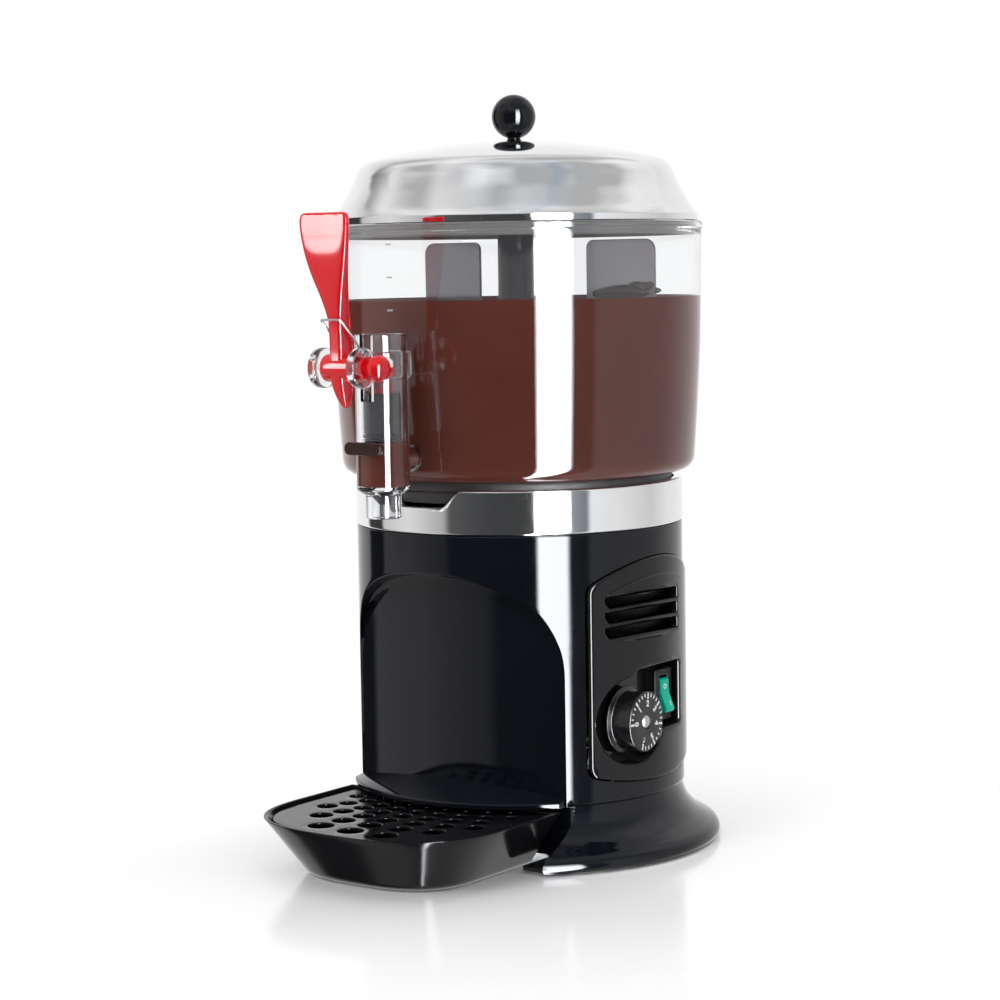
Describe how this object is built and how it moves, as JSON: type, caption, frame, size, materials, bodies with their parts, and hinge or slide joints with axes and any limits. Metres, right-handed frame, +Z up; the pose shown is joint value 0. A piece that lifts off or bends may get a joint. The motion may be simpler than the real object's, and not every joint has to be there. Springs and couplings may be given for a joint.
{
  "type": "hot drink dispenser",
  "caption": "Countertop dispenser with a clear heated bowl, stirrer, polished domed lid, red lever piston tap, drip tray and side control panel.",
  "frame": {"origin": "middle of the whole footprint, drip tray included, on the counter", "axes": "+Z up, front with the tap and tray towards -Y, control panel on the +X side"},
  "size_m": [0.256, 0.329, 0.4782],
  "materials": {
    "gloss_black": "moulded, high gloss",
    "satin_black": "moulded, satin",
    "polished_steel": "mirror polished stainless sheet",
    "plain_steel": "plain mill finish",
    "clear_plastic": "clear, polished",
    "smoked_plastic": "translucent grey",
    "red_plastic": "glossy",
    "green_plastic": "glossy, translucent",
    "dark_rubber": "matte",
    "grey_silicone": "matte",
    "brown_plastic": "satin",
    "motor_paint": "enamel"
  },
  "bodies": {
    "base": {"body_shell": "gloss_black", "foot_skirt": "gloss_black", "base_plate": "plain_steel", "foot_1": "dark_rubber", "foot_2": "dark_rubber", "foot_3": "dark_rubber", "foot_4": "dark_rubber", "chrome_ring": "polished_steel", "water_bath": "plain_steel", "heating_element": "plain_steel", "bath_thermostat": "satin_black", "gearbox": "motor_paint", "motor": "motor_paint", "motor_bridge": "plain_steel", "shaft_seal": "dark_rubber", "control_panel": "gloss_black", "switch_housing": "satin_black", "thermostat": "plain_steel", "cord_gland": "satin_black", "terminal_block": "satin_black"},
    "drive": {"drive_shaft": "plain_steel"},
    "bowl": {"bowl": "clear_plastic", "bowl_seal": "dark_rubber", "tap_body": "clear_plastic", "stop_bar": "brown_plastic"},
    "stirrer": {"stirrer": "smoked_plastic"},
    "lid": {"lid": "polished_steel", "lid_seal": "grey_silicone", "lid_knob": "gloss_black", "knob_screw": "plain_steel"},
    "lever": {"tap_lever": "red_plastic", "lever_pin": "red_plastic", "lever_clip": "plain_steel"},
    "piston": {"tap_piston": "red_plastic", "piston_ring": "dark_rubber"},
    "tray": {"drip_tray": "gloss_black", "drip_grid": "satin_black"},
    "switch": {"rocker": "green_plastic"},
    "dial": {"dial": "satin_black", "dial_cap": "polished_steel", "dial_spindle": "plain_steel"}
  },
  "joints": [
    {"name": "bowl_lift", "type": "slide", "parent": "base", "child": "bowl", "axis": [0, 0, 1], "range_m": [0, 0.16]},
    {"name": "lid_lift", "type": "slide", "parent": "bowl", "child": "lid", "axis": [0, 0, 1], "range_m": [0, 0.1]},
    {"name": "shaft_spin", "type": "hinge", "parent": "base", "child": "drive", "pos_m": [0, 0.0365, 0.2], "axis": [0, 0, 1], "continuous": true},
    {"name": "stirrer_spin", "type": "hinge", "parent": "bowl", "child": "stirrer", "pos_m": [0, 0.0365, 0.3], "axis": [0, 0, 1], "continuous": true},
    {"name": "lever_pull", "type": "hinge", "parent": "bowl", "child": "lever", "pos_m": [0, -0.1405, 0.311], "axis": [1, 0, 0], "range_deg": [0, 22], "stiffness_Nm_per_rad": 0.05, "springref_deg": -20.05},
    {"name": "piston_lift", "type": "slide", "parent": "bowl", "child": "piston", "axis": [0, 0, 1], "range_m": [0, 0.0146]},
    {"name": "tray_pull", "type": "slide", "parent": "base", "child": "tray", "axis": [0, -1, 0], "range_m": [0, 0.1]},
    {"name": "rocker_press", "type": "hinge", "parent": "base", "child": "switch", "pos_m": [0.0965, 0.053, 0.097], "axis": [0, 1, 0], "range_deg": [0, 20]},
    {"name": "dial_turn", "type": "hinge", "parent": "base", "child": "dial", "pos_m": [0.0915, 0.012, 0.087], "axis": [1, 0, 0], "range_deg": [-270, 0]}
  ],
  "couplings": [
    {"joint": "stirrer_spin", "follows": "shaft_spin", "ratio": 1},
    {"joint": "piston_lift", "follows": "lever_pull", "m_per_rad": 0.0365}
  ]
}
